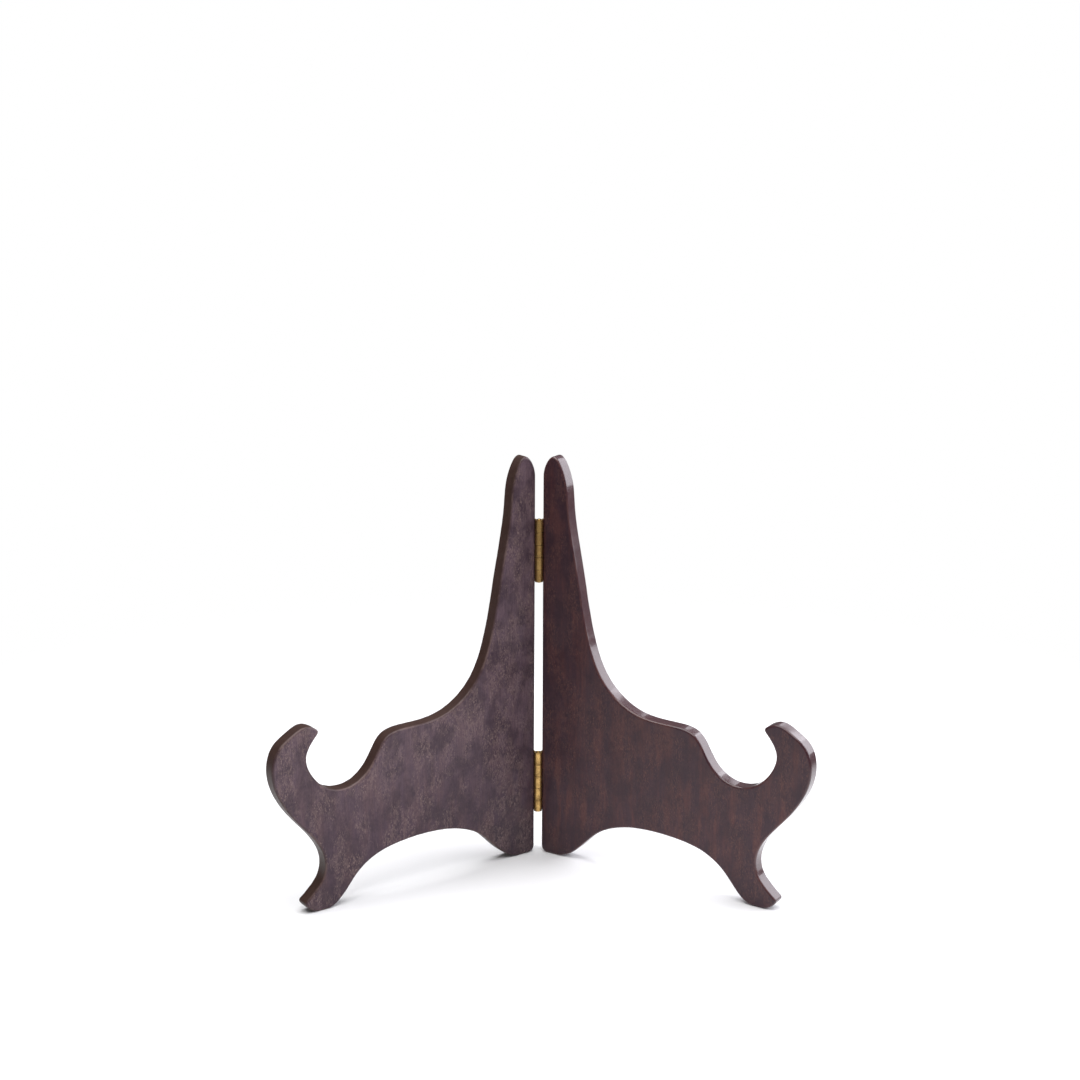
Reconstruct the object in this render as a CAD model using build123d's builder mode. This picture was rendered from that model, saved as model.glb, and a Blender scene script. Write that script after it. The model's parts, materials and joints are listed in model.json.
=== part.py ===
from build123d import *
import os
from math import cos, radians, sin

# Folding wooden plate display stand: two profile-sawn side panels that open like a book.
# Each panel has a front foot, an upturned hook for the rim of the plate, a low arch, a rear foot
# and a tapering upright that the plate leans on. Two brass butt hinges join the rear edges.
#
# Stand frame, in millimetres: +X to the viewer's right, +Y to the back, +Z up, with the origin in
# the middle of the footprint. Panel frame: u runs from the hinge axis to the front of the panel,
# v runs up, and w runs through the thickness, from the hinge axis to the outside.
# The pieces are drawn on the left side, and the right side is their mirror image.

# Panels.
splay = 34  # angle between a panel and the stand's X axis, in degrees, with the stand open
board = 9
fold_gap = 2.8  # between the inner faces when the stand is folded flat
edge_round = 1.5
tip_round = 1.6  # the beak of the hook and the toe, seen from the side
heel_radius = 3.65  # the rear foot's corner below the hinges, seen from the side
front_reach = 180.5
stand_height = 250

# Hinges.
leaf_length = 38
leaf_thick = 1.2
leaf_reach = 9.4  # from the hinge axis to the long edge of a leaf
leaf_standoff = 0.15  # from the hinge axis to the open face of a leaf
leaf_corner = 0.8
knuckle_count = 5
knuckle_gap = 0.25
pin_radius = 1.2
pin_clearance = 0.05  # radial, in the knuckles that turn on the pin
pin_proud = 0.6
pin_dome = 0.55
hinge_heights = {"upper": 192, "lower": 46}

# Screws.
head_radius = 2.2
shank_radius = 1.1
head_depth = head_radius - shank_radius  # a 90 degree countersink
screw_length = 12
point_length = 3
point_radius = 0.2
pilot_spare = 0.5  # the pilot hole goes this far past the point
screw_pitch = 12.5
slot_width = 0.55
slot_depth = 0.45
slot_angles = [20, 75, 140]
slot_bar_length = 3 * head_radius  # the bar that cuts a slot clears the head

# Worked out from them.
rear_edge = leaf_standoff + leaf_thick
inner_face = fold_gap / 2
barrel_radius = pin_radius + leaf_thick
knuckle_pitch = leaf_length / knuckle_count
leaf_screw_line = (barrel_radius + leaf_reach) / 2  # halfway across the flat of a leaf
splay_cos = cos(radians(splay))
splay_sin = sin(radians(splay))
front_centre = (front_reach - edge_round, inner_face + edge_round)  # u, w of the eased front edge
front_y = front_centre[0] * splay_sin - front_centre[1] * splay_cos + edge_round
back_y = leaf_reach * splay_cos - leaf_standoff * splay_sin  # the hinge leaves stand furthest back
hinge_y = (front_y - back_y) / 2

along = Vector(-splay_cos, -splay_sin, 0)
outward = Vector(-splay_sin, splay_cos, 0)
side_plane = Plane(origin=(0, hinge_y, 0), x_dir=along, z_dir=outward)  # its axes are u, v and w
edge_plane = Plane(origin=(0, hinge_y, 0), x_dir=outward, z_dir=-along)  # its axes are w, v and -u

# Outline of a panel, in u and v.
beak = (149.5, 109)
toe = (162.5, 7)
toe_underside = (160, 3.5)
front_pad = [(153, 0), (147, 0)]
rear_pad = [(13, 0), (rear_edge + heel_radius, 0)]
heel = (rear_edge, heel_radius)
crown_and_shin = [
    (158.5, 113.3), (168, 109.5), (176.5, 103), (front_reach, 91), (176.5, 73.5), (165, 56.5),
    (152.5, 41), (148, 29), (150, 19), (156, 12),
]
arch = [(138, 4.5), (127.5, 16.5), (114, 25.5), (97, 29.5), (80, 30.5), (60, 28.5), (42, 21), (26, 6)]
head_foot = (rear_edge, stand_height - 12)
head_to_rim_slot = [
    (8.5, stand_height), (15.5, stand_height - 9), (19, 220), (25, 185), (33, 145), (46, 116),
    (68, 101.5), (90, 99.5), (106, 96.5), (115.5, 83), (128, 72.5), (142.5, 72.5), (154.5, 82.5),
    (158.5, 95),
]


def curve(points, start, end):
    Spline(*points, tangents=[start, end], tangent_scalars=[1, 1])


with BuildSketch() as outline:
    with BuildLine():
        curve([beak, *crown_and_shin, toe], (0.8, 0.6), (1, -0.45))
        curve([toe, toe_underside, front_pad[0]], (-0.4, -0.8), (-1, 0))
        Line(*front_pad)
        curve([front_pad[1], *arch, rear_pad[0]], (-1, 0), (-1, 0))
        Line(*rear_pad)
        RadiusArc(rear_pad[1], heel, heel_radius)
        Line(heel, head_foot)
        curve([head_foot, *head_to_rim_slot, beak], (0, 1), (-0.7, 0.75))
    make_face()
    fillet(outline.vertices().sort_by_distance((*beak, 0))[0], radius=tip_round)
    fillet(outline.vertices().sort_by_distance((*toe, 0))[0], radius=tip_round)

os.makedirs("parts", exist_ok=True)


def write(piece, name):
    piece.part.label = name
    export_step(piece.part, f"parts/{name}.step")


def mirrored(piece):
    with BuildPart() as twin:
        mirror(piece.part, about=Plane.YZ)
    return twin


def screw_places(height):
    return [(leaf_screw_line, height + row * screw_pitch) for row in (1, 0, -1)]


# Side panels, with pilot holes for the hinge screws in the rear edge.
with BuildPart() as left_panel:
    with BuildSketch(side_plane.offset(inner_face)):
        add(outline.sketch)
    extrude(amount=board)
    broad_faces = left_panel.faces().sort_by(Axis(side_plane.origin, outward))
    fillet(broad_faces[0].edges() + broad_faces[-1].edges(), radius=edge_round)
    for height in hinge_heights.values():
        with BuildSketch(edge_plane.offset(-rear_edge)):
            with Locations(*screw_places(height)):
                Circle(shank_radius)
        extrude(amount=-(screw_length + pilot_spare - leaf_thick), mode=Mode.SUBTRACT)

write(left_panel, "left_panel")
write(mirrored(left_panel), "right_panel")

# Butt hinges: the left leaf has the odd knuckles and grips the pin, the right leaf turns on it.
for hinge, height in hinge_heights.items():
    barrel_foot = height - leaf_length / 2
    for side, bore_radius in (("left", pin_radius), ("right", pin_radius + pin_clearance)):
        own_knuckles = range(0, knuckle_count, 2) if side == "left" else range(1, knuckle_count, 2)
        with BuildPart() as leaf:
            with BuildSketch(edge_plane.offset(-leaf_standoff)):
                with Locations((leaf_reach / 2, height)):
                    plate = Rectangle(leaf_reach, leaf_length)
                fillet(plate.vertices().group_by(Axis.X)[-1], radius=leaf_corner)
            extrude(amount=-leaf_thick)
            with BuildSketch(Plane(origin=(0, hinge_y, barrel_foot))):
                Circle(barrel_radius)
            extrude(amount=leaf_length)
            for knuckle in range(knuckle_count):
                if knuckle in own_knuckles:
                    continue
                below = knuckle_gap / 2 if knuckle else knuckle_gap
                gap_foot = barrel_foot + knuckle * knuckle_pitch - below
                with BuildSketch(Plane(origin=(0, hinge_y, gap_foot))):
                    Circle(barrel_radius + knuckle_gap)
                extrude(amount=knuckle_pitch + knuckle_gap, mode=Mode.SUBTRACT)
            with BuildSketch(Plane(origin=(0, hinge_y, barrel_foot))):
                Circle(bore_radius)
            extrude(amount=leaf_length, mode=Mode.SUBTRACT)
            with Locations(edge_plane.offset(-leaf_standoff)):
                with Locations(*screw_places(height)):
                    CounterSinkHole(shank_radius, head_radius, depth=leaf_thick, counter_sink_angle=90)

        with BuildPart() as screws:
            with Locations(edge_plane.offset(-leaf_standoff)):
                for (w, v), slot_angle in zip(screw_places(height), slot_angles):
                    with Locations(Location((w, v, -head_depth / 2))):
                        Cone(shank_radius, head_radius, head_depth)
                    with Locations(Location((w, v, -(head_depth + screw_length - point_length) / 2))):
                        Cylinder(shank_radius, screw_length - point_length - head_depth)
                    with Locations(Location((w, v, -screw_length + point_length / 2))):
                        Cone(point_radius, shank_radius, point_length)
                    with Locations(Location((w, v, 0), (0, 0, slot_angle))):
                        Box(slot_bar_length, slot_width, 2 * slot_depth, mode=Mode.SUBTRACT)

        if side == "right":
            leaf = mirrored(leaf)
            screws = mirrored(screws)
        write(leaf, f"{hinge}_{side}_leaf")
        write(screws, f"{hinge}_{side}_screws")

    with BuildPart() as pin:
        with BuildSketch(Plane(origin=(0, hinge_y, barrel_foot - pin_proud))):
            Circle(pin_radius)
        extrude(amount=leaf_length + 2 * pin_proud)
        fillet(pin.edges().filter_by(GeomType.CIRCLE), radius=pin_dome)
    write(pin, f"{hinge}_hinge_pin")
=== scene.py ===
import json
import math

import bmesh
import bpy
import numpy as np
from mathutils import Matrix, Vector


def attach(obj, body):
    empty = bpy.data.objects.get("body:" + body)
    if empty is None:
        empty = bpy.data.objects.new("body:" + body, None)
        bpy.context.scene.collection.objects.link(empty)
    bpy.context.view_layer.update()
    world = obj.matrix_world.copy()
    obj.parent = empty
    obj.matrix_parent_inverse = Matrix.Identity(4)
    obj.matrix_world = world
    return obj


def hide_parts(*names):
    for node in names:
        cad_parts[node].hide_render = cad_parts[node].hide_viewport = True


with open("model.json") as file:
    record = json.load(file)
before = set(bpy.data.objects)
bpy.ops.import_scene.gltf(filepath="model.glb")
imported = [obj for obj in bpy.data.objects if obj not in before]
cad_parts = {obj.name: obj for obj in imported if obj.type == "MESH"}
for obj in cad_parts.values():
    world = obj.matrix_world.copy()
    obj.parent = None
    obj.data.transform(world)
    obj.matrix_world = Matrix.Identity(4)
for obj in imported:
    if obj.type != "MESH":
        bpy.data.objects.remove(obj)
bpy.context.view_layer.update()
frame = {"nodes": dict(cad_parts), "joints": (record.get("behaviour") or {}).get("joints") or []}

mm = 0.001
mergeWithin = 1e-6  # corners closer than this are one corner
tiny = 1e-7
sharpAngle = math.radians(35)  # a crease sharper than this counts as an edge
stand = {
    "splay": 34,  # degrees between a panel and the stand's width
    "innerFace": 1.4,  # from the hinge line to a panel's inner face
    "board": 9.0,
}
hinge = Vector((0, frame["joints"][0]["pos_m"][1], 0))
sides = ("left", "right")
levels = ("upper", "lower")


def sideAxes(side):
    # from the hinge line to the front of a panel, and from its inner face to its outer face
    turn = math.radians(stand["splay"])
    across = -1 if side == "left" else 1
    along = Vector((across * math.cos(turn), -math.sin(turn), 0))
    outward = Vector((across * math.sin(turn), math.cos(turn), 0))
    return along, outward


def placeOn(side, u, v, w):
    # u along the panel, v up and w through its thickness, all in millimetres
    along, outward = sideAxes(side)
    return hinge + (along * u + outward * w + Vector((0, 0, v))) * mm


def toMesh(name, form):
    mesh = bpy.data.meshes.new(name)
    form.to_mesh(mesh)
    form.free()
    return mesh


def addPiece(name, mesh):
    piece = bpy.data.objects.new(name, mesh)
    bpy.context.scene.collection.objects.link(piece)
    return piece


def asPlainMesh(piece):
    # the evaluated modifiers become the mesh, and the modifiers go
    bpy.context.view_layer.update()
    evaluated = piece.evaluated_get(bpy.context.evaluated_depsgraph_get())
    mesh = bpy.data.meshes.new_from_object(evaluated)
    piece.modifiers.clear()
    old = piece.data
    piece.data = mesh
    bpy.data.meshes.remove(old)


def evenNormals(piece):
    # big flat faces keep their own normal, and the eased edges turn smoothly between them
    piece.data.shade_smooth()
    even = piece.modifiers.new("evenNormals", "WEIGHTED_NORMAL")
    even.weight = 100
    even.keep_sharp = True


# Node helpers

def link(tree, made, values):
    for name, value in values.items():
        if isinstance(value, bpy.types.NodeSocket):
            tree.links.new(value, made.inputs[name])
        else:
            made.inputs[name].default_value = value
    return made


def addNode(tree, kind, values=None, **settings):
    made = tree.nodes.new(kind)
    for name, value in settings.items():
        setattr(made, name, value)
    return link(tree, made, values or {})


def maths(tree, operation, first, second):
    values = {0: first, 1: second}
    return addNode(tree, "ShaderNodeMath", values, operation=operation).outputs[0]


def times(tree, first, second):
    return maths(tree, "MULTIPLY", first, second)


def plus(tree, first, second):
    return maths(tree, "ADD", first, second)


def minus(tree, first, second):
    return maths(tree, "SUBTRACT", first, second)


def vectorMaths(tree, operation, *values):
    values = dict(enumerate(values))
    return addNode(tree, "ShaderNodeVectorMath", values, operation=operation).outputs[0]


def mixColours(tree, factor, first, second):
    # a mix node's colours are its inputs 6 and 7, and its output 2
    values = {0: factor, 6: first, 7: second}
    return addNode(tree, "ShaderNodeMix", values, data_type="RGBA").outputs[2]


def remap(tree, value, low, high, outLow=0.0, outHigh=1.0):
    values = {"Value": value, "From Min": low, "From Max": high, "To Min": outLow, "To Max": outHigh}
    return addNode(tree, "ShaderNodeMapRange", values, interpolation_type="SMOOTHSTEP").outputs[0]


def noise(tree, place, scale=1.0, detail=2.0, roughness=0.5, distortion=0.0):
    values = {
        "Vector": place,
        "Scale": scale,
        "Detail": detail,
        "Roughness": roughness,
        "Distortion": distortion,
    }
    return addNode(tree, "ShaderNodeTexNoise", values).outputs["Fac"]


def attribute(tree, name):
    return addNode(tree, "ShaderNodeAttribute", attribute_name=name).outputs["Fac"]


def rgb(red, green, blue):
    return (red, green, blue, 1.0)


def newGroup(name, inputs, outputs):
    tree = bpy.data.node_groups.new(name, "ShaderNodeTree")
    for socketName, value in inputs.items():
        kind = "NodeSocketVector" if value is None else "NodeSocketFloat"
        socket = tree.interface.new_socket(socketName, in_out="INPUT", socket_type=kind)
        if value is not None:
            socket.default_value = value
    for socketName in outputs:
        tree.interface.new_socket(socketName, in_out="OUTPUT", socket_type="NodeSocketFloat")
    return tree, tree.nodes.new("NodeGroupInput").outputs, tree.nodes.new("NodeGroupOutput")


def placeGroup(tree, group, values):
    return link(tree, addNode(tree, "ShaderNodeGroup", node_tree=group), values).outputs


def newMaterial(name):
    material = bpy.data.materials.new(name)
    material.use_nodes = True
    tree = material.node_tree
    return material, tree, tree.nodes["Principled BSDF"]


def placeInMillimetres(tree, turn=0.0, shift=(0, 0, 0)):
    # object coordinates in millimetres, turned about the upright axis
    coordinates = addNode(tree, "ShaderNodeTexCoord").outputs["Object"]
    scale = (1 / mm, 1 / mm, 1 / mm)
    values = {"Vector": coordinates, "Location": shift, "Rotation": (0, 0, turn), "Scale": scale}
    return addNode(tree, "ShaderNodeMapping", values, vector_type="POINT").outputs[0]


# Shared effects: each mask is noise, empty below low and full above high

grain = {
    "sizes": {"Fleck Width": 0.7, "Fleck Length": 1.7, "Streak Width": 6.0, "Cloud Size": 11.0},
    "bend": (5, 5, 0),  # how far the grain strays from upright
    "bendScale": 0.02,
    "coarseShare": 0.38,
}
grainLayers = {
    # wide and tall are each a size and how many of it
    "fine": {
        "wide": ("Fleck Width", 1.0), "tall": ("Fleck Length", 1.0),
        "detail": 3.0, "roughness": 0.7, "low": 0.5, "high": 0.66,
    },
    "coarse": {
        "wide": ("Fleck Width", 2.6), "tall": ("Fleck Length", 2.2),
        "detail": 3.0, "roughness": 0.7, "low": 0.42, "high": 0.62,
    },
    "cluster": {
        "wide": ("Cloud Size", 0.8), "tall": ("Cloud Size", 1.7),
        "detail": 2.0, "low": 0.38, "high": 0.62, "least": 0.15,
    },
    "streaks": {
        "wide": ("Streak Width", 1.0), "tall": ("Streak Width", 7.0),
        "detail": 3.0, "roughness": 0.55, "distortion": 0.3, "low": 0.4, "high": 0.66,
    },
    "clouds": {
        "wide": ("Cloud Size", 1.0), "tall": ("Cloud Size", 1.4),
        "detail": 4.0, "roughness": 0.62, "distortion": 0.3, "low": 0.38, "high": 0.64,
    },
    "lines": {
        "wide": ("Fleck Width", 1.0), "tall": ("Fleck Length", 22.0),
        "detail": 2.0, "roughness": 0.6, "low": 0.35, "high": 0.65,
    },
    "pores": {
        "wide": ("Fleck Width", 0.4), "tall": ("Fleck Length", 1.5),
        "detail": 1.0, "low": 0.6, "high": 0.72,
    },
}


def grainGroup():
    # x runs along the board, y through it and z up, with the grain upright
    names = ("Flecks", "Streaks", "Clouds", "Lines", "Pores")
    tree, given, out = newGroup("woodGrain", {"Place": None} | grain["sizes"], names)
    stray = {"Vector": given["Place"], "Scale": grain["bendScale"], "Detail": 1.0}
    stray = addNode(tree, "ShaderNodeTexNoise", stray).outputs["Color"]
    bent = vectorMaths(tree, "MULTIPLY_ADD", stray, grain["bend"], given["Place"])

    def layer(wide, tall, low, high, least=0.0, **look):
        width, length = (times(tree, given[size], count) for size, count in (wide, tall))
        cell = addNode(tree, "ShaderNodeCombineXYZ", {0: width, 1: width, 2: length}).outputs[0]
        cells = noise(tree, vectorMaths(tree, "DIVIDE", bent, cell), **look)
        return remap(tree, cells, low, high, least)

    masks = {name: layer(**settings) for name, settings in grainLayers.items()}
    flecks = maths(tree, "MAXIMUM", masks["fine"], times(tree, masks["coarse"], grain["coarseShare"]))
    link(tree, out, {
        "Flecks": times(tree, flecks, masks["cluster"]),
        "Streaks": masks["streaks"],
        "Clouds": masks["clouds"],
        "Lines": masks["lines"],
        "Pores": masks["pores"],
    })
    return tree


scuffMarks = {
    "sizes": {"Spacing": 1.0, "Patch Size": 12.0},
    "turns": (0.5, -0.9),  # the two ways that scratches run
    "axis": (0.3, 1, 0.2),
    "squash": (1.0, 1.0, 0.04),  # draws the noise out into lines
    "scratch": (0.66, 0.72),
    "patchDetail": 4.0,
    "patchRoughness": 0.62,
    "patch": (0.4, 0.62),
    "scratchedPatch": (0.45, 0.6),
}


def scuffGroup():
    # fine scratches in two directions, broken up into patches
    marks = scuffMarks
    tree, given, out = newGroup("scuffs", {"Place": None} | marks["sizes"], ("Scratches", "Patches"))
    lines = []
    for turn in marks["turns"]:
        turned = {"Vector": given["Place"], "Axis": marks["axis"], "Angle": turn}
        turned = addNode(tree, "ShaderNodeVectorRotate", turned).outputs[0]
        drawn = vectorMaths(tree, "MULTIPLY", turned, marks["squash"])
        drawn = vectorMaths(tree, "DIVIDE", drawn, given["Spacing"])
        lines.append(remap(tree, noise(tree, drawn, detail=1.0), *marks["scratch"]))
    place = vectorMaths(tree, "DIVIDE", given["Place"], given["Patch Size"])
    patch = noise(tree, place, detail=marks["patchDetail"], roughness=marks["patchRoughness"])
    either = maths(tree, "MAXIMUM", *lines)
    link(tree, out, {
        "Scratches": times(tree, either, remap(tree, patch, *marks["scratchedPatch"])),
        "Patches": remap(tree, patch, *marks["patch"]),
    })
    return tree


woodGrain = grainGroup()
scuffs = scuffGroup()

# Stained and lacquered wood, one copy for each panel, their colours set apart as painted light and
# shade: the left panel's faces painted lighter and its edges darker than the right panel's

woodStainAndPaintedLight = {
    # painted lighter on the faces and darker on the edges than the right panel
    "left": {
        "shift": (0, 0, 0),  # where in the grain the board is cut from
        # the hook's colour is painted light, fading in between these heights
        "paintedHookShading": rgb(0.135, 0.088, 0.108),
        "hookShadingFrom": 25.0,
        "hookShadingTo": 105.0,
        "hookShadingShare": 0.55,
        "footShade": 0.5,
        "dark": rgb(0.027, 0.013, 0.023),
        "body": rgb(0.063, 0.033, 0.051),
        "warm": rgb(0.083, 0.042, 0.050),
        "fleck": rgb(0.250, 0.168, 0.150),
        # painted shade on this panel's edges, which face away from the light
        "edge": rgb(0.033, 0.013, 0.006),
        "fleckShare": 0.68,
        "cloudDepth": 0.7,
        "edgeGloss": 0.08,
        "edgeDullness": 0.1,
        "sheen": 0.28,
    },
    # painted darker on the faces than the left panel
    "right": {
        "shift": (260, 31, 140),
        # the hook's colour is painted shade, fading in between these heights
        "paintedHookShading": rgb(0.036, 0.015, 0.020),
        "hookShadingFrom": 25.0,
        "hookShadingTo": 105.0,
        "hookShadingShare": 0.35,
        "footShade": 0.6,
        "dark": rgb(0.022, 0.007, 0.015),
        "body": rgb(0.048, 0.018, 0.028),
        "warm": rgb(0.096, 0.030, 0.029),
        "fleck": rgb(0.160, 0.072, 0.056),
        "edge": rgb(0.046, 0.012, 0.017),
        "fleckShare": 0.52,
        "cloudDepth": 0.62,
        "edgeGloss": 0.8,
        "edgeDullness": -0.06,
        "sheen": 0.38,
    },
}
woodWearAndShading = {  # the same on both panels
    "scuffs": {"Spacing": 0.9, "Patch Size": 20.0},
    "shadeTop": (4, 34),  # the foot's shade fades out between these heights
    "lineShare": 0.28,
    "poreShare": 0.45,
    "edgeShare": 0.85,
    # worn edges, lighter, together with a painted highlight along them
    "rubAndHighlightAmount": (0.03, 0.3),
    "rubAndHighlightPatch": (0.2, 0.9),
    "dullness": (0.36, 0.5),  # of plain wood and of a fleck
    "scratchDullness": 0.12,
    "faceGloss": 0.12,
    "fleckHeight": 0.2,
    "poreDepth": 0.6,
    "scratchDepth": 0.3,
    "rippleScale": 0.16,
    "ripple": (1.5, 5.0),  # on the faces and on the edges
    "relief": 0.06,
    "reliefShare": 0.5,
}


def stainedWood(side):
    palette, wearAndShading = woodStainAndPaintedLight[side], woodWearAndShading
    material, tree, surface = newMaterial(side + "StainedWoodAndPaintedLight")
    across = -1 if side == "left" else 1
    # turned so that x runs along the board
    place = placeInMillimetres(tree, across * math.radians(stand["splay"]), palette["shift"])
    grown = placeGroup(tree, woodGrain, {"Place": place})
    worn = placeGroup(tree, scuffs, {"Place": place} | wearAndShading["scuffs"])
    onEdge, rubAndHighlight = attribute(tree, "onEdge"), attribute(tree, "rubAndHighlight")
    rise = addNode(tree, "ShaderNodeSeparateXYZ", {0: place}).outputs[2]

    def height(fromFloor):
        return palette["shift"][2] + fromFloor

    # painted light on the left hook and painted shade on the right hook, and darker at the foot
    paintedHookShading = remap(tree, rise, height(palette["hookShadingFrom"]), height(palette["hookShadingTo"]))
    low = remap(tree, rise, height(wearAndShading["shadeTop"][0]), height(wearAndShading["shadeTop"][1]), 1.0, 0.0)
    rubAndHighlightPatch = remap(tree, worn["Patches"], *wearAndShading["rubAndHighlightPatch"], *wearAndShading["rubAndHighlightAmount"])
    colour = mixColours(tree, grown["Streaks"], palette["body"], palette["warm"])
    for mask, share, tint in (
        (paintedHookShading, palette["hookShadingShare"], "paintedHookShading"),
        (low, palette["footShade"], "dark"),
        (grown["Clouds"], palette["cloudDepth"], "dark"),
        (grown["Lines"], wearAndShading["lineShare"], "dark"),
        (grown["Flecks"], palette["fleckShare"], "fleck"),
        (grown["Pores"], wearAndShading["poreShare"], "dark"),
        (onEdge, wearAndShading["edgeShare"], "edge"),
        # worn edges and a painted highlight along the middle of each eased edge
        (rubAndHighlight, rubAndHighlightPatch, "fleck"),
    ):
        colour = mixColours(tree, times(tree, mask, share), colour, palette[tint])

    dull = remap(tree, grown["Flecks"], 0.0, 1.0, *wearAndShading["dullness"])
    dull = plus(tree, dull, times(tree, worn["Scratches"], wearAndShading["scratchDullness"]))
    dull = plus(tree, dull, times(tree, onEdge, palette["edgeDullness"]))
    relief = times(tree, grown["Flecks"], wearAndShading["fleckHeight"])
    relief = minus(tree, relief, times(tree, grown["Pores"], wearAndShading["poreDepth"]))
    relief = minus(tree, relief, times(tree, worn["Scratches"], wearAndShading["scratchDepth"]))
    ripple = noise(tree, place, wearAndShading["rippleScale"])
    relief = plus(tree, relief, times(tree, ripple, remap(tree, onEdge, 0.0, 1.0, *wearAndShading["ripple"])))
    bump = {"Strength": wearAndShading["reliefShare"], "Distance": wearAndShading["relief"] * mm, "Height": relief}
    link(tree, surface, {
        "Base Color": colour,
        "Roughness": dull,
        "Coat Weight": remap(tree, onEdge, 0.0, 1.0, wearAndShading["faceGloss"], palette["edgeGloss"]),
        "Coat Roughness": 0.09,
        "Coat IOR": 1.5,
        "Specular IOR Level": palette["sheen"],
        "IOR": 1.45,
        "Normal": addNode(tree, "ShaderNodeBump", bump).outputs[0],
    })
    return material


# Brass for the hinges, pins and screws

brassFinish = {
    "hingeBrass": {
        "bright": rgb(0.58, 0.37, 0.135),
        "tarnish": rgb(0.21, 0.12, 0.045),
        "dullness": 0.30,
        "tarnishShare": 0.6,
    },
    "pinBrass": {
        "bright": rgb(0.60, 0.40, 0.15),
        "tarnish": rgb(0.17, 0.10, 0.04),
        "dullness": 0.26,
        "tarnishShare": 0.6,
    },
    "screwBrass": {
        "bright": rgb(0.78, 0.57, 0.27),
        "tarnish": rgb(0.22, 0.13, 0.05),
        "dullness": 0.22,
        "tarnishShare": 0.4,
    },
}
brassWearAndSlotShade = {  # the same on all the brass
    "scuffs": {"Spacing": 0.35, "Patch Size": 5.0},
    "speckle": {"scale": 1.6, "detail": 3.0, "roughness": 0.65},
    "speckled": (0.52, 0.7),
    "brushing": (6.0, 6.0, 0.25),  # fine lines that run up and down
    "brushed": (0.3, 0.7),
    "brushedDullness": (-0.04, 0.06),
    "tarnishDullness": 0.28,
    "scratchShare": 0.5,
    # the colour of the painted shade in the screw slots
    "paintedSlotShade": rgb(0.030, 0.020, 0.012),
    "paintedSlotShadeShare": 0.85,
    "brushedHeight": 0.5,
    "speckleDepth": 0.6,
    "relief": 0.02,
    "reliefShare": 0.25,
}


def agedBrass(name):
    palette, wearAndShading = brassFinish[name], brassWearAndSlotShade
    material, tree, surface = newMaterial(name)
    place = placeInMillimetres(tree)
    worn = placeGroup(tree, scuffs, {"Place": place} | wearAndShading["scuffs"])
    speckle = remap(tree, noise(tree, place, **wearAndShading["speckle"]), *wearAndShading["speckled"])
    dirty = times(tree, maths(tree, "MAXIMUM", worn["Patches"], speckle), palette["tarnishShare"])
    brushed = noise(tree, vectorMaths(tree, "MULTIPLY", place, wearAndShading["brushing"]))
    scratched = times(tree, worn["Scratches"], wearAndShading["scratchShare"])
    # the screw slots' faces are painted dark as shade
    slotShaded = times(tree, attribute(tree, "paintedSlotShade"), wearAndShading["paintedSlotShadeShare"])
    colour = mixColours(tree, dirty, palette["bright"], palette["tarnish"])
    colour = mixColours(tree, scratched, colour, palette["bright"])
    colour = mixColours(tree, slotShaded, colour, wearAndShading["paintedSlotShade"])
    clean = palette["dullness"]
    dull = remap(tree, dirty, 0.0, 1.0, clean, clean + wearAndShading["tarnishDullness"])
    dull = plus(tree, dull, remap(tree, brushed, *wearAndShading["brushed"], *wearAndShading["brushedDullness"]))
    relief = minus(tree, times(tree, brushed, wearAndShading["brushedHeight"]), worn["Scratches"])
    relief = minus(tree, relief, times(tree, speckle, wearAndShading["speckleDepth"]))
    bump = {"Strength": wearAndShading["reliefShare"], "Distance": wearAndShading["relief"] * mm, "Height": relief}
    link(tree, surface, {
        "Base Color": colour,
        "Metallic": 1.0,
        "Roughness": dull,
        "Normal": addNode(tree, "ShaderNodeBump", bump).outputs[0],
    })
    return material


woods = {side: stainedWood(side) for side in sides}
brasses = {name: agedBrass(name) for name in brassFinish}
print("materials made")

# Side panels: the board's outline with hand-eased edges

panelShape = {
    "cutDepth": 1.8,  # where the outline is taken, below the eased edge and clear of the pilot holes
    "step": 0.7,  # between points along the outline
    "softening": 1.0,
    "unevenness": 0.09,  # how far the hand-worked outline wanders inwards
    "outlineWaves": range(50, 190, 9),
    "largestRound": 1.5,
    "smallestRound": 1.15,
    "roundWaves": range(5, 60, 4),
    "roundSteps": 7,
    "evenBehind": (6.0, 16.0),  # the edge keeps its largest round near the hinge
    "evenAhead": (175.0, 179.0),  # and at the very front
    "seed": 7,
}


def outlineOf(side):
    # the ordered outline of a panel, u and v in millimetres
    along, outward = sideAxes(side)
    form = bmesh.new()
    form.from_mesh(frame["nodes"][side + "_panel"].data)
    bmesh.ops.remove_doubles(form, verts=form.verts, dist=mergeWithin)
    level = hinge + outward * (stand["innerFace"] + panelShape["cutDepth"]) * mm
    whole = form.verts[:] + form.edges[:] + form.faces[:]
    cut = bmesh.ops.bisect_plane(form, geom=whole, dist=tiny, plane_co=level, plane_no=outward)
    edges = {piece for piece in cut["geom_cut"] if isinstance(piece, bmesh.types.BMEdge)}
    corner = next(iter(edges)).verts[0]
    ordered = []
    while edges:
        edge = next(beside for beside in corner.link_edges if beside in edges)
        edges.remove(edge)
        corner = edge.other_vert(corner)
        ordered.append(((corner.co - hinge).dot(along) / mm, corner.co.z / mm))
    form.free()
    # always from the corner at the foot of the rear edge, and always the same way round
    loop = np.array(ordered)
    ahead = np.roll(loop, -1, axis=0)
    loop = loop if np.sum(loop[:, 0] * ahead[:, 1] - loop[:, 1] * ahead[:, 0]) > 0 else loop[::-1]
    return np.roll(loop, -int(np.argmin(loop.sum(axis=1))), axis=0)


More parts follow.
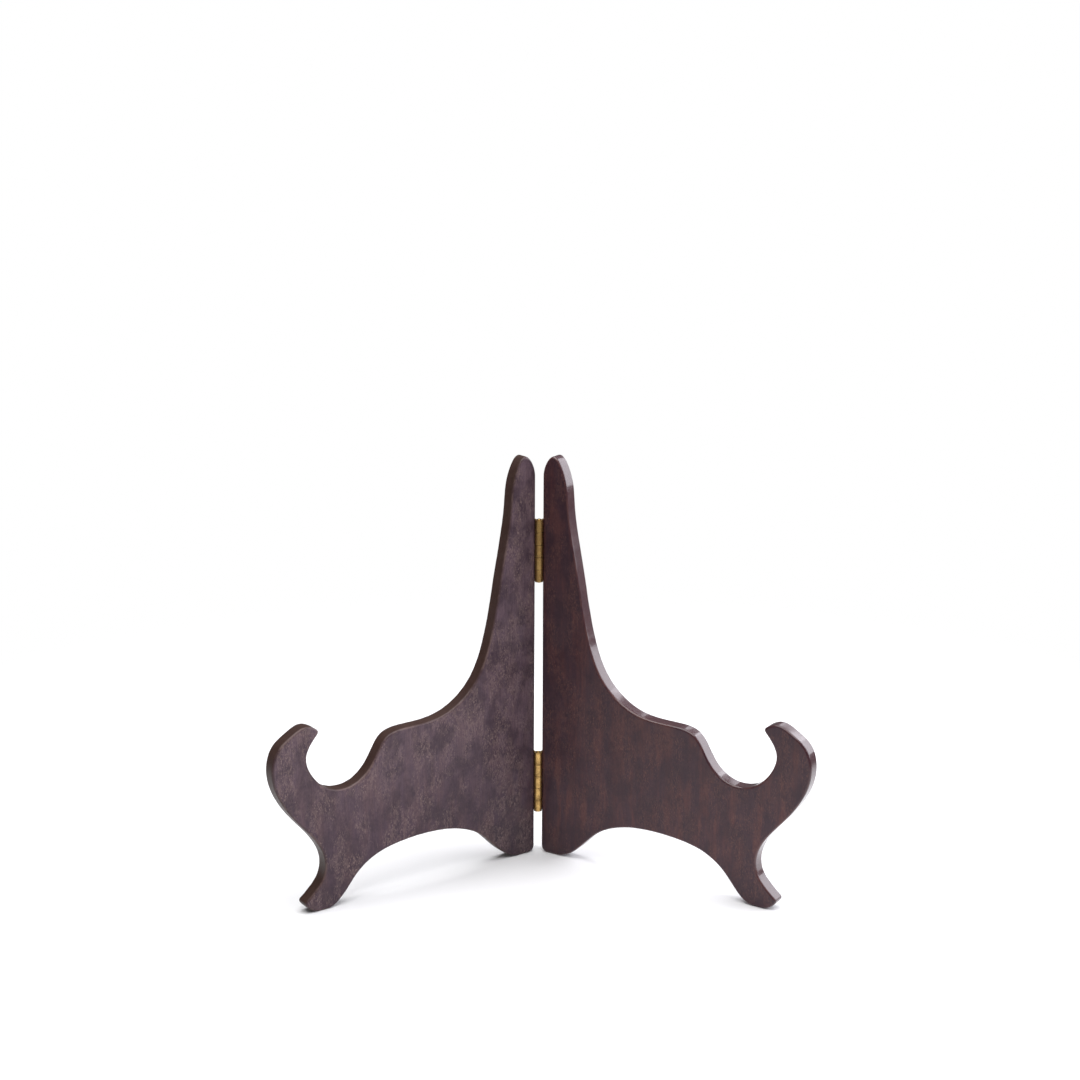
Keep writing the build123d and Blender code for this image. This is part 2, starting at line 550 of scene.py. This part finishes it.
def resampled(loop, step, softening):
    # even steps round the loop, smoothed by a bell curve
    closed = np.vstack([loop, loop[:1]])
    run = np.concatenate([[0], np.cumsum(np.linalg.norm(np.diff(closed, axis=0), axis=1))])
    at = np.linspace(0, run[-1], int(run[-1] / step), endpoint=False)
    even = np.column_stack([np.interp(at, run, closed[:, axis]) for axis in (0, 1)])
    reach = int(3 * softening / step) + 1
    shifts = range(-reach, reach + 1)
    weights = np.exp(-0.5 * (np.array(shifts) * step / softening) ** 2)
    weights /= weights.sum()
    return sum(weight * np.roll(even, shift, axis=0) for weight, shift in zip(weights, shifts))


def wanderAround(count, waves, rng):
    # a smooth closed random line between -1 and 1
    angle = np.linspace(0, 2 * np.pi, count, endpoint=False)
    line = sum(
        rng.normal() * np.sin(wave * angle + rng.uniform(0, 2 * np.pi)) / wave ** 0.5
        for wave in waves
    )
    return line / np.abs(line).max()


def easedBoard(side):
    shape = panelShape
    rng = np.random.default_rng(shape["seed"] + sides.index(side))
    line = resampled(outlineOf(side), shape["step"], shape["softening"])
    ahead = np.roll(line, -1, axis=0) - np.roll(line, 1, axis=0)
    ahead /= np.linalg.norm(ahead, axis=1)[:, None]
    inward = np.column_stack([-ahead[:, 1], ahead[:, 0]])
    count = len(line)
    behind, front = shape["evenBehind"], shape["evenAhead"]
    free = np.clip((line[:, 0] - behind[0]) / (behind[1] - behind[0]), 0, 1)
    free *= np.clip((front[1] - line[:, 0]) / (front[1] - front[0]), 0, 1)
    uneven = 0.5 * shape["unevenness"] * (1 + wanderAround(count, shape["outlineWaves"], rng))
    line += inward * (uneven * free)[:, None]
    half = 0.5 * (shape["largestRound"] - shape["smallestRound"])
    steps = shape["roundSteps"]

    form = bmesh.new()
    onEdge = form.verts.layers.float.new("onEdge")
    rubAndHighlight = form.verts.layers.float.new("rubAndHighlight")
    rings = []
    for face in (0, 1):
        wander = wanderAround(count, shape["roundWaves"], rng)
        radius = shape["largestRound"] - half * (1 + wander) * free
        for step in (range(steps + 1) if face == 0 else range(steps, -1, -1)):
            angle = 0.5 * math.pi * step / steps
            inset = line + inward * (radius * (1 - math.sin(angle)))[:, None]
            depth = radius * (1 - math.cos(angle))
            w = stand["innerFace"] + (depth if face == 0 else stand["board"] - depth)
            ring = []
            for (u, v), through in zip(inset, w):
                corner = form.verts.new(placeOn(side, u, v, through))
                corner[onEdge] = step / steps
                # the eased edge's wear and painted highlight, most at its middle
                corner[rubAndHighlight] = math.sin(2 * angle) ** 2
                ring.append(corner)
            rings.append(ring)
    for first, second in zip(rings, rings[1:]):
        for i in range(count):
            j = (i + 1) % count
            form.faces.new((first[i], first[j], second[j], second[i]))
    form.faces.new(rings[0])
    form.faces.new(rings[-1])
    bmesh.ops.recalc_face_normals(form, faces=form.faces[:])
    return toMesh(side + "Panel", form)


def makePanel(side):
    panel = addPiece(side + "Panel", easedBoard(side))
    evenNormals(panel)
    asPlainMesh(panel)
    panel.data.materials.append(woods[side])
    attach(panel, side + "_side")
    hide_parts(side + "_panel")


for side in sides:
    makePanel(side)
print("panels made")

# Hinge leaves: sheet brass rolled round the pin, with countersunk holes

leafShape = {
    "reach": 9.4,
    "length": 38.0,
    "thick": 1.16,
    "middle": 0.75,  # from the hinge line to the middle of the sheet
    "rollRadius": 1.82,
    "rollStart": 42,
    "rollEnd": 357,
    "rollPoints": 46,
    "bend": (0.55, 0.5),  # how softly the sheet leaves the flat and joins the roll
    "bendSteps": 8,
    "knuckles": 5,
    "knuckleGap": 0.25,
    "notchReach": 2.65,
    "hole": (1.2, 2.32),  # radius at the wood and at the open face
    "holeSides": 48,
    "holeSpare": 0.4,  # the cutter goes this far past the open face
    "holeEnd": 3.0,
    "screwLine": 5.9,
    "screwPitch": 12.5,
    "ease": 0.16,
    "easeSteps": 3,
}
hingeHeights = {"upper": 192.0, "lower": 46.0}
openFace = leafShape["middle"] - leafShape["thick"] / 2


def screwRows(level):
    return [hingeHeights[level] + row * leafShape["screwPitch"] for row in (1, 0, -1)]


def rolledLine():
    # the middle of the sheet seen from above, w and u, from the long edge round the pin
    shape = leafShape
    points = [(shape["reach"], shape["middle"]), (shape["notchReach"], shape["middle"])]
    start = math.radians(shape["rollStart"])
    foot = Vector(points[-1])
    top = Vector((math.cos(start), math.sin(start))) * shape["rollRadius"]
    ahead = Vector((-math.sin(start), math.cos(start)))
    leave, join = shape["bend"]
    handles = [foot, foot + Vector((-leave, 0)), top - ahead * join, top]
    for i in range(1, shape["bendSteps"]):
        t = i / shape["bendSteps"]
        spread = ((1 - t) ** 3, 3 * t * (1 - t) ** 2, 3 * t * t * (1 - t), t ** 3)
        pulls = [handle * part for handle, part in zip(handles, spread)]
        points.append(tuple(sum(pulls, Vector((0, 0)))))
    for angle in np.radians(np.linspace(shape["rollStart"], shape["rollEnd"], shape["rollPoints"])):
        points.append((shape["rollRadius"] * math.cos(angle), shape["rollRadius"] * math.sin(angle)))
    return np.array(points)


def leafForm(level, side):
    shape = leafShape
    line = rolledLine()
    ahead = np.gradient(line, axis=0)
    ahead[0] = ahead[1] = (-1, 0)
    ahead /= np.linalg.norm(ahead, axis=1)[:, None]
    normal = np.column_stack([ahead[:, 1], -ahead[:, 0]])
    pitch = shape["length"] / shape["knuckles"]
    foot = hingeHeights[level] - shape["length"] / 2
    # bands up the leaf: its own knuckles, the other leaf's, and the gaps between them
    heights, rolled = [foot], []
    for knuckle in range(shape["knuckles"]):
        rolled.append(knuckle % 2 == sides.index(side))
        top = foot + (knuckle + 1) * pitch
        if knuckle < shape["knuckles"] - 1:
            heights += [top - shape["knuckleGap"] / 2, top + shape["knuckleGap"] / 2]
            rolled.append(False)
        else:
            heights.append(top)
    # only the flat, the first cell of each band, is there all the way up
    cells = {(i, j) for j, own in enumerate(rolled) for i in range(len(line) - 1) if own or i == 0}
    form = bmesh.new()
    made = {}

    def corner(i, j, face):
        if (i, j, face) not in made:
            w, u = line[i] + normal[i] * shape["thick"] / 2 * face
            made[i, j, face] = form.verts.new(placeOn(side, u, heights[j], w))
        return made[i, j, face]

    for i, j in cells:
        here, onward, above, across = (i, j), (i + 1, j), (i, j + 1), (i + 1, j + 1)
        for face in (-1, 1):
            form.faces.new([corner(*at, face) for at in (here, onward, across, above)])
        for first, second, beside in (
            (here, above, (i - 1, j)),
            (onward, across, onward),
            (here, onward, (i, j - 1)),
            (above, across, above),
        ):
            if beside not in cells:
                wall = (corner(*first, -1), corner(*second, -1), corner(*second, 1), corner(*first, 1))
                form.faces.new(wall)
    bmesh.ops.recalc_face_normals(form, faces=form.faces[:])
    return form


def holeCutter(level, side):
    # three countersinks, turned about the screw lines
    shape = leafShape
    small, large = shape["hole"]
    spare, end = shape["holeSpare"], shape["holeEnd"]
    neck = openFace + large - small
    mouth = openFace - spare
    profile = [(0, mouth), (large + spare, mouth), (small, neck), (small, end), (0, end)]
    turns = np.linspace(0, 2 * math.pi, shape["holeSides"], endpoint=False)
    form = bmesh.new()
    for row in screwRows(level):
        rings = []
        for radius, u in profile:
            ring = []
            for angle in turns if radius else (0,):
                v = row + radius * math.sin(angle)
                w = shape["screwLine"] + radius * math.cos(angle)
                ring.append(form.verts.new(placeOn(side, u, v, w)))
            rings.append(ring)
        for first, second in zip(rings, rings[1:]):
            for i in range(len(turns)):
                j = i + 1
                around = [first[i % len(first)], first[j % len(first)]]
                around += [second[j % len(second)], second[i % len(second)]]
                form.faces.new(list(dict.fromkeys(around)))  # a triangle at the middle
    bmesh.ops.recalc_face_normals(form, faces=form.faces[:])
    return form


def makeLeaf(level, side):
    name = level + side.capitalize() + "Leaf"
    leaf = addPiece(name, toMesh(name, leafForm(level, side)))
    cutter = addPiece(name + "Holes", toMesh(name + "Holes", holeCutter(level, side)))
    holes = leaf.modifiers.new("holes", "BOOLEAN")
    holes.object = cutter
    holes.solver = "EXACT"
    ease = leaf.modifiers.new("ease", "BEVEL")
    ease.width = leafShape["ease"] * mm
    ease.segments = leafShape["easeSteps"]
    ease.limit_method = "ANGLE"
    ease.angle_limit = sharpAngle
    asPlainMesh(leaf)
    bpy.data.objects.remove(cutter)
    form = bmesh.new()
    form.from_mesh(leaf.data)
    bmesh.ops.dissolve_degenerate(form, dist=tiny, edges=form.edges[:])
    form.to_mesh(leaf.data)
    form.free()
    evenNormals(leaf)
    asPlainMesh(leaf)
    leaf.data.materials.clear()
    leaf.data.materials.append(brasses["hingeBrass"])
    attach(leaf, side + "_side")
    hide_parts(level + "_" + side + "_leaf")


for level in levels:
    for side in sides:
        makeLeaf(level, side)
print("hinge leaves made")

# Screws

screwSizes = {
    "Head Radius": 2.15,
    "Shank Radius": 0.95,
    "Head Depth": 1.2,
    "Length": 12.0,
    "Point Length": 3.0,
    "Slot Width": 0.55,
    "Slot Depth": 0.45,
    "Thread Pitch": 1.3,
    "Thread Height": 0.32,
}
screwForm = {
    "tip": 0.15,  # of the shank's radius
    "slotBar": 3.0,  # the bar that cuts the slot, in head radii
    "threaded": 0.68,  # of the length
    "threadStart": 0.35,  # of the shank's radius
    "sides": 40,
    "threadSteps": 20,
    "threadSides": 4,
    "sunk": 0.04,  # the head sits this far below the open face of the leaf
}
screwSeeds = {"upper_left": 3, "upper_right": 11, "lower_left": 24, "lower_right": 31}


def screwTree():
    # a slotted countersunk wood screw at every point, its head towards the point's facing
    tree = bpy.data.node_groups.new("hingeScrews", "GeometryNodeTree")
    kinds = {"Geometry": "Geometry"} | dict.fromkeys(screwSizes, "Float")
    kinds |= {"Seed": "Int", "Brass": "Material"}
    for name, kind in kinds.items():
        socket = tree.interface.new_socket(name, in_out="INPUT", socket_type="NodeSocket" + kind)
        if name in screwSizes:
            socket.default_value = screwSizes[name] * mm
    tree.interface.new_socket("Geometry", in_out="OUTPUT", socket_type="NodeSocketGeometry")
    given = tree.nodes.new("NodeGroupInput").outputs
    out = tree.nodes.new("NodeGroupOutput")

    def made(kind, values, **settings):
        return addNode(tree, kind, values, **settings).outputs[0]

    def downBy(depth):
        return made("ShaderNodeCombineXYZ", {2: times(tree, depth, -1.0)})

    def atEachStation(*values):
        # one value for each of the four stations down the body
        switch = addNode(tree, "GeometryNodeIndexSwitch", data_type="FLOAT")
        while len(switch.index_switch_items) < len(values):
            switch.index_switch_items.new()
        link(tree, switch, {0: made("GeometryNodeInputIndex", {})})
        return link(tree, switch, dict(enumerate(values, 1))).outputs[0]

    # the head, the shank and the point are one turned body
    shank, tip = given["Shank Radius"], times(tree, given["Shank Radius"], screwForm["tip"])
    shankDepth = minus(tree, given["Length"], given["Point Length"])
    depth = atEachStation(0.0, given["Head Depth"], shankDepth, given["Length"])
    radius = atEachStation(given["Head Radius"], shank, shank, tip)
    axis = made("GeometryNodeCurvePrimitiveLine", {})
    axis = made("GeometryNodeResampleCurve", {"Curve": axis, "Count": 4})
    axis = made("GeometryNodeSetPosition", {"Geometry": axis, "Position": downBy(depth)})
    ring = made("GeometryNodeCurvePrimitiveCircle", {"Resolution": screwForm["sides"], "Radius": 1.0})
    turned = {"Curve": axis, "Profile Curve": ring, "Scale": radius, "Fill Caps": True}
    body = made("GeometryNodeCurveToMesh", turned)
    slotSize = made("ShaderNodeCombineXYZ", {
        0: times(tree, given["Head Radius"], screwForm["slotBar"]),
        1: given["Slot Width"],
        2: times(tree, given["Slot Depth"], 2.0),
    })
    bar = made("GeometryNodeMeshCube", {"Size": slotSize})

    def withSlotShade(geometry, amount):
        values = {"Geometry": geometry, "Name": "paintedSlotShade", "Value": amount}
        return made("GeometryNodeStoreNamedAttribute", values, data_type="FLOAT", domain="FACE")

    # the slot's walls and floor, cut by the bar, carry the painted shade
    cut = {"Mesh 1": withSlotShade(body, 0.0), "Mesh 2": withSlotShade(bar, 1.0)}
    slotted = made("GeometryNodeMeshBoolean", cut, operation="DIFFERENCE", solver="EXACT")

    threadLength = times(tree, given["Length"], screwForm["threaded"])
    spiral = made("GeometryNodeCurveSpiral", {
        "Resolution": screwForm["threadSteps"],
        "Rotations": maths(tree, "DIVIDE", threadLength, given["Thread Pitch"]),
        "Start Radius": times(tree, shank, screwForm["threadStart"]),
        "End Radius": shank,
        "Height": threadLength,
    })
    ridge = {"Resolution": screwForm["threadSides"], "Radius": given["Thread Height"]}
    ridge = made("GeometryNodeCurvePrimitiveCircle", ridge)
    swept = {"Curve": spiral, "Profile Curve": ridge, "Fill Caps": True}
    thread = made("GeometryNodeCurveToMesh", swept)
    lowered = {"Geometry": thread, "Translation": downBy(given["Length"])}
    thread = made("GeometryNodeTransform", lowered)
    whole = addNode(tree, "GeometryNodeJoinGeometry")
    for part in (slotted, thread):
        tree.links.new(part, whole.inputs[0])

    facing = made("GeometryNodeInputNamedAttribute", {"Name": "facing"}, data_type="FLOAT_VECTOR")
    aimed = made("FunctionNodeAlignRotationToVector", {"Vector": facing}, axis="Z")
    slotTurn = {"Min": 0.0, "Max": math.pi, "Seed": given["Seed"]}
    slotTurn = addNode(tree, "FunctionNodeRandomValue", slotTurn, data_type="FLOAT").outputs
    slotTurn = next(socket for socket in slotTurn if socket.enabled)
    turned = made("FunctionNodeAxisAngleToRotation", {"Axis": (0, 0, 1), "Angle": slotTurn})
    aimed = made("FunctionNodeRotateRotation", {0: aimed, 1: turned}, rotation_space="LOCAL")
    placed = {"Points": given["Geometry"], "Instance": whole.outputs[0], "Rotation": aimed}
    placed = made("GeometryNodeInstanceOnPoints", placed)
    real = made("GeometryNodeRealizeInstances", {"Geometry": placed})
    finished = made("GeometryNodeSetMaterial", {"Geometry": real, "Material": given["Brass"]})
    tree.links.new(finished, out.inputs[0])
    return tree


screwMaker = screwTree()


def makeScrews(level, side):
    along = sideAxes(side)[0]
    name = level + side.capitalize() + "Screws"
    head = openFace + screwForm["sunk"]
    places = [placeOn(side, head, row, leafShape["screwLine"]) for row in screwRows(level)]
    mesh = bpy.data.meshes.new(name)
    mesh.from_pydata(places, [], [])
    facing = mesh.attributes.new("facing", "FLOAT_VECTOR", "POINT")
    facing.data.foreach_set("vector", [value for _ in places for value in -along])
    screws = addPiece(name, mesh)
    maker = screws.modifiers.new("screws", "NODES")
    maker.node_group = screwMaker
    items = screwMaker.interface.items_tree
    sockets = {item.name: item.identifier for item in items if item.in_out == "INPUT"}
    for sizeName, size in screwSizes.items():
        maker[sockets[sizeName]] = size * mm
    maker[sockets["Seed"]] = screwSeeds[level + "_" + side]
    maker[sockets["Brass"]] = brasses["screwBrass"]
    asPlainMesh(screws)
    screws.data.shade_smooth()
    screws.data.set_sharp_from_angle(angle=sharpAngle)
    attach(screws, side + "_side")
    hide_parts(level + "_" + side + "_screws")


for level in levels:
    for side in sides:
        makeScrews(level, side)
    pin = frame["nodes"][level + "_hinge_pin"]
    pin.data.materials.clear()
    pin.data.materials.append(brasses["pinBrass"])
print("screws and pins made")

# Floor, light and camera

cool = (0.94, 0.94, 1.0)
studio = {
    "floorRadius": 0.7,
    "floorSides": 96,
    "floorColour": rgb(0.86, 0.86, 0.87),
    "floorDullness": 0.7,
    "floorFade": (0.28, 0.62),  # where the floor melts into the white surround
    "surround": 1.0,
    "ambient": 0.17,
    "white": rgb(1, 1, 1),
}
softboxes = {
    "sideLight": {
        "place": (1.2, 0.1, 0.72), "aim": (0, 0, 0.1), "size": (1.7, 1.2),
        "radiance": 3.8, "colour": cool,
    },
    "backLight": {
        "place": (0.95, 1.35, 0.6), "aim": (0, 0, 0.1), "size": (1.1, 0.9),
        "radiance": 2.2, "colour": cool,
    },
    "topLight": {
        "place": (-0.15, -0.15, 1.5), "aim": (0, 0, 0), "size": (1.7, 1.7),
        "radiance": 3.9, "colour": (1, 1, 1),
    },
}
view = {
    "azimuth": 1.47,
    "elevation": 14,
    "roll": 0.26,
    "distance": 1.2,
    "lens": 67.6,
    "sensor": 36,
    "aimHeight": 0.2137,
    "shift": (0.00074, -0.02287),
}


def makeFloor():
    form = bmesh.new()
    sizes = {"segments": studio["floorSides"], "radius": studio["floorRadius"]}
    bmesh.ops.create_circle(form, cap_ends=True, **sizes)
    floor = addPiece("floor", toMesh("floor", form))
    material, tree, surface = newMaterial("paleFloor")
    place = addNode(tree, "ShaderNodeTexCoord").outputs["Object"]
    distance = addNode(tree, "ShaderNodeVectorMath", {0: place}, operation="LENGTH").outputs["Value"]
    link(tree, surface, {
        "Base Color": studio["floorColour"],
        "Roughness": studio["floorDullness"],
        "Alpha": remap(tree, distance, *studio["floorFade"], 1.0, 0.0),
    })
    floor.data.materials.append(material)


def makeSurround():
    # the camera sees plain white, and the stand is lit by a dimmer white
    world = bpy.data.worlds.new("studio")
    bpy.context.scene.world = world
    world.use_nodes = True
    tree = world.node_tree
    seen = addNode(tree, "ShaderNodeLightPath").outputs["Is Camera Ray"]
    strength = remap(tree, seen, 0.0, 1.0, studio["ambient"], studio["surround"])
    link(tree, tree.nodes["Background"], {"Color": studio["white"], "Strength": strength})


def addSoftbox(name, place, aim, size, radiance, colour):
    lamp = bpy.data.lights.new(name, "AREA")
    lamp.shape = "RECTANGLE"
    lamp.size, lamp.size_y = size
    lamp.energy = radiance * math.pi * size[0] * size[1]
    lamp.color = colour
    box = bpy.data.objects.new(name, lamp)
    bpy.context.scene.collection.objects.link(box)
    box.location = place
    box.rotation_euler = (Vector(place) - Vector(aim)).to_track_quat("Z", "Y").to_euler()
    box.visible_camera = False


def makeCamera():
    turn, rise = math.radians(view["azimuth"]), math.radians(view["elevation"])
    back = Vector((-math.sin(turn) * math.cos(rise), -math.cos(turn) * math.cos(rise), math.sin(rise)))
    camera = bpy.data.objects.new("camera", bpy.data.cameras.new("camera"))
    bpy.context.scene.collection.objects.link(camera)
    camera.data.lens = view["lens"]
    camera.data.sensor_width = view["sensor"]
    camera.data.shift_x, camera.data.shift_y = view["shift"]
    camera.location = Vector((0, hinge.y, view["aimHeight"])) + back * view["distance"]
    upright = back.to_track_quat("Z", "Y").to_matrix()
    roll = Matrix.Rotation(math.radians(view["roll"]), 3, "Z")
    camera.rotation_euler = (upright @ roll).to_euler()
    bpy.context.scene.camera = camera


makeFloor()
makeSurround()
for name, softbox in softboxes.items():
    addSoftbox(name, **softbox)
makeCamera()
bpy.context.scene.view_settings.view_transform = "Standard"
print("studio made")
